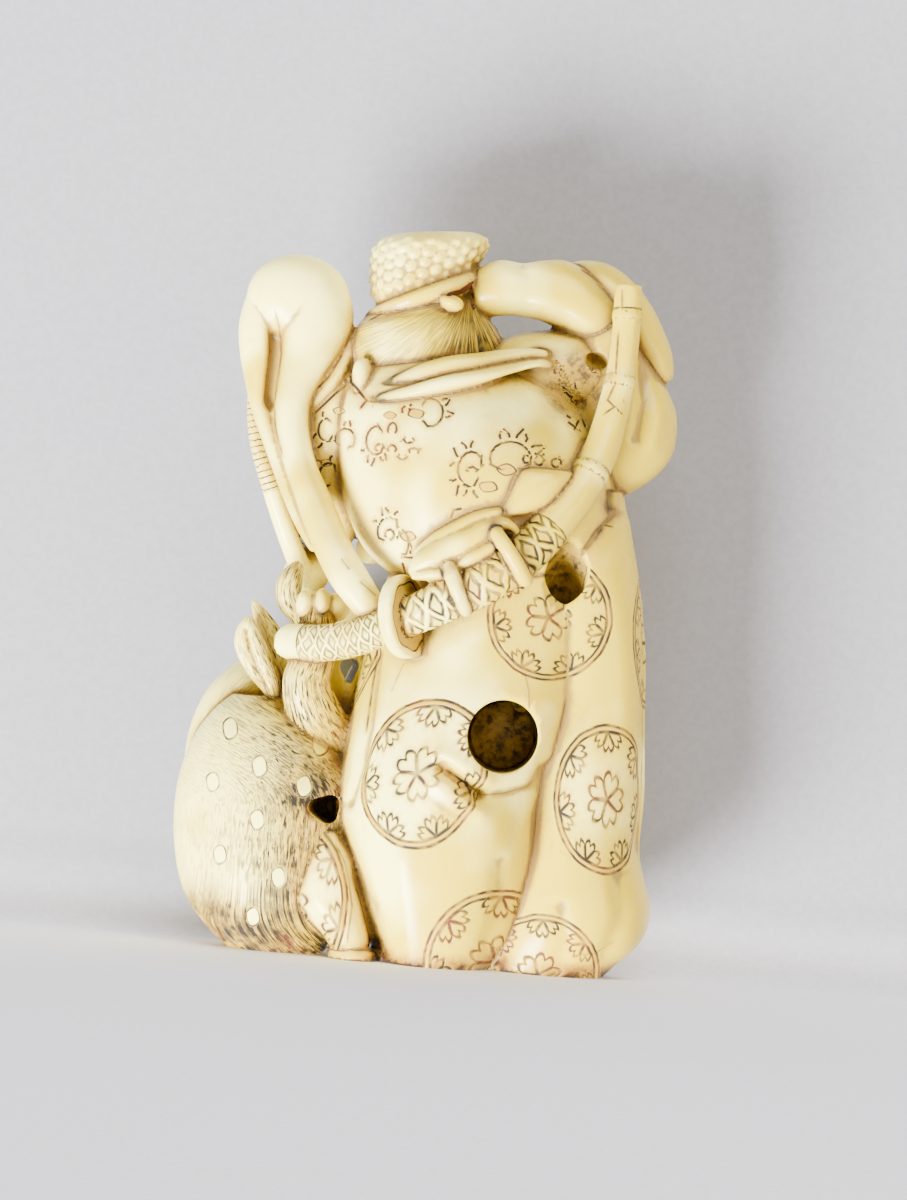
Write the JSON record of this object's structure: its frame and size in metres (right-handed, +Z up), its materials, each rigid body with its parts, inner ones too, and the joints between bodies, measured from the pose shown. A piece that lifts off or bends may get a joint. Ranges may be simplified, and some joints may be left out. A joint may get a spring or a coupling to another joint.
{
  "type": "netsuke",
  "caption": "Carved ivory toggle, a robed archer with a slung sword and raised arm beside a curled spotted deer, with joined cord holes in the back",
  "frame": {"origin": "middle of the outline's box, on the flat underside", "axes": "+Z up; the man's back, with the cord holes, faces -Y; the deer lies at -X and the raised sleeve at +X"},
  "size_m": [0.0394, 0.0246, 0.06],
  "materials": {
    "ivory": "polished ivory with brown stained engraving"
  },
  "bodies": {
    "root": {"netsuke": "ivory"}
  },
  "joints": []
}
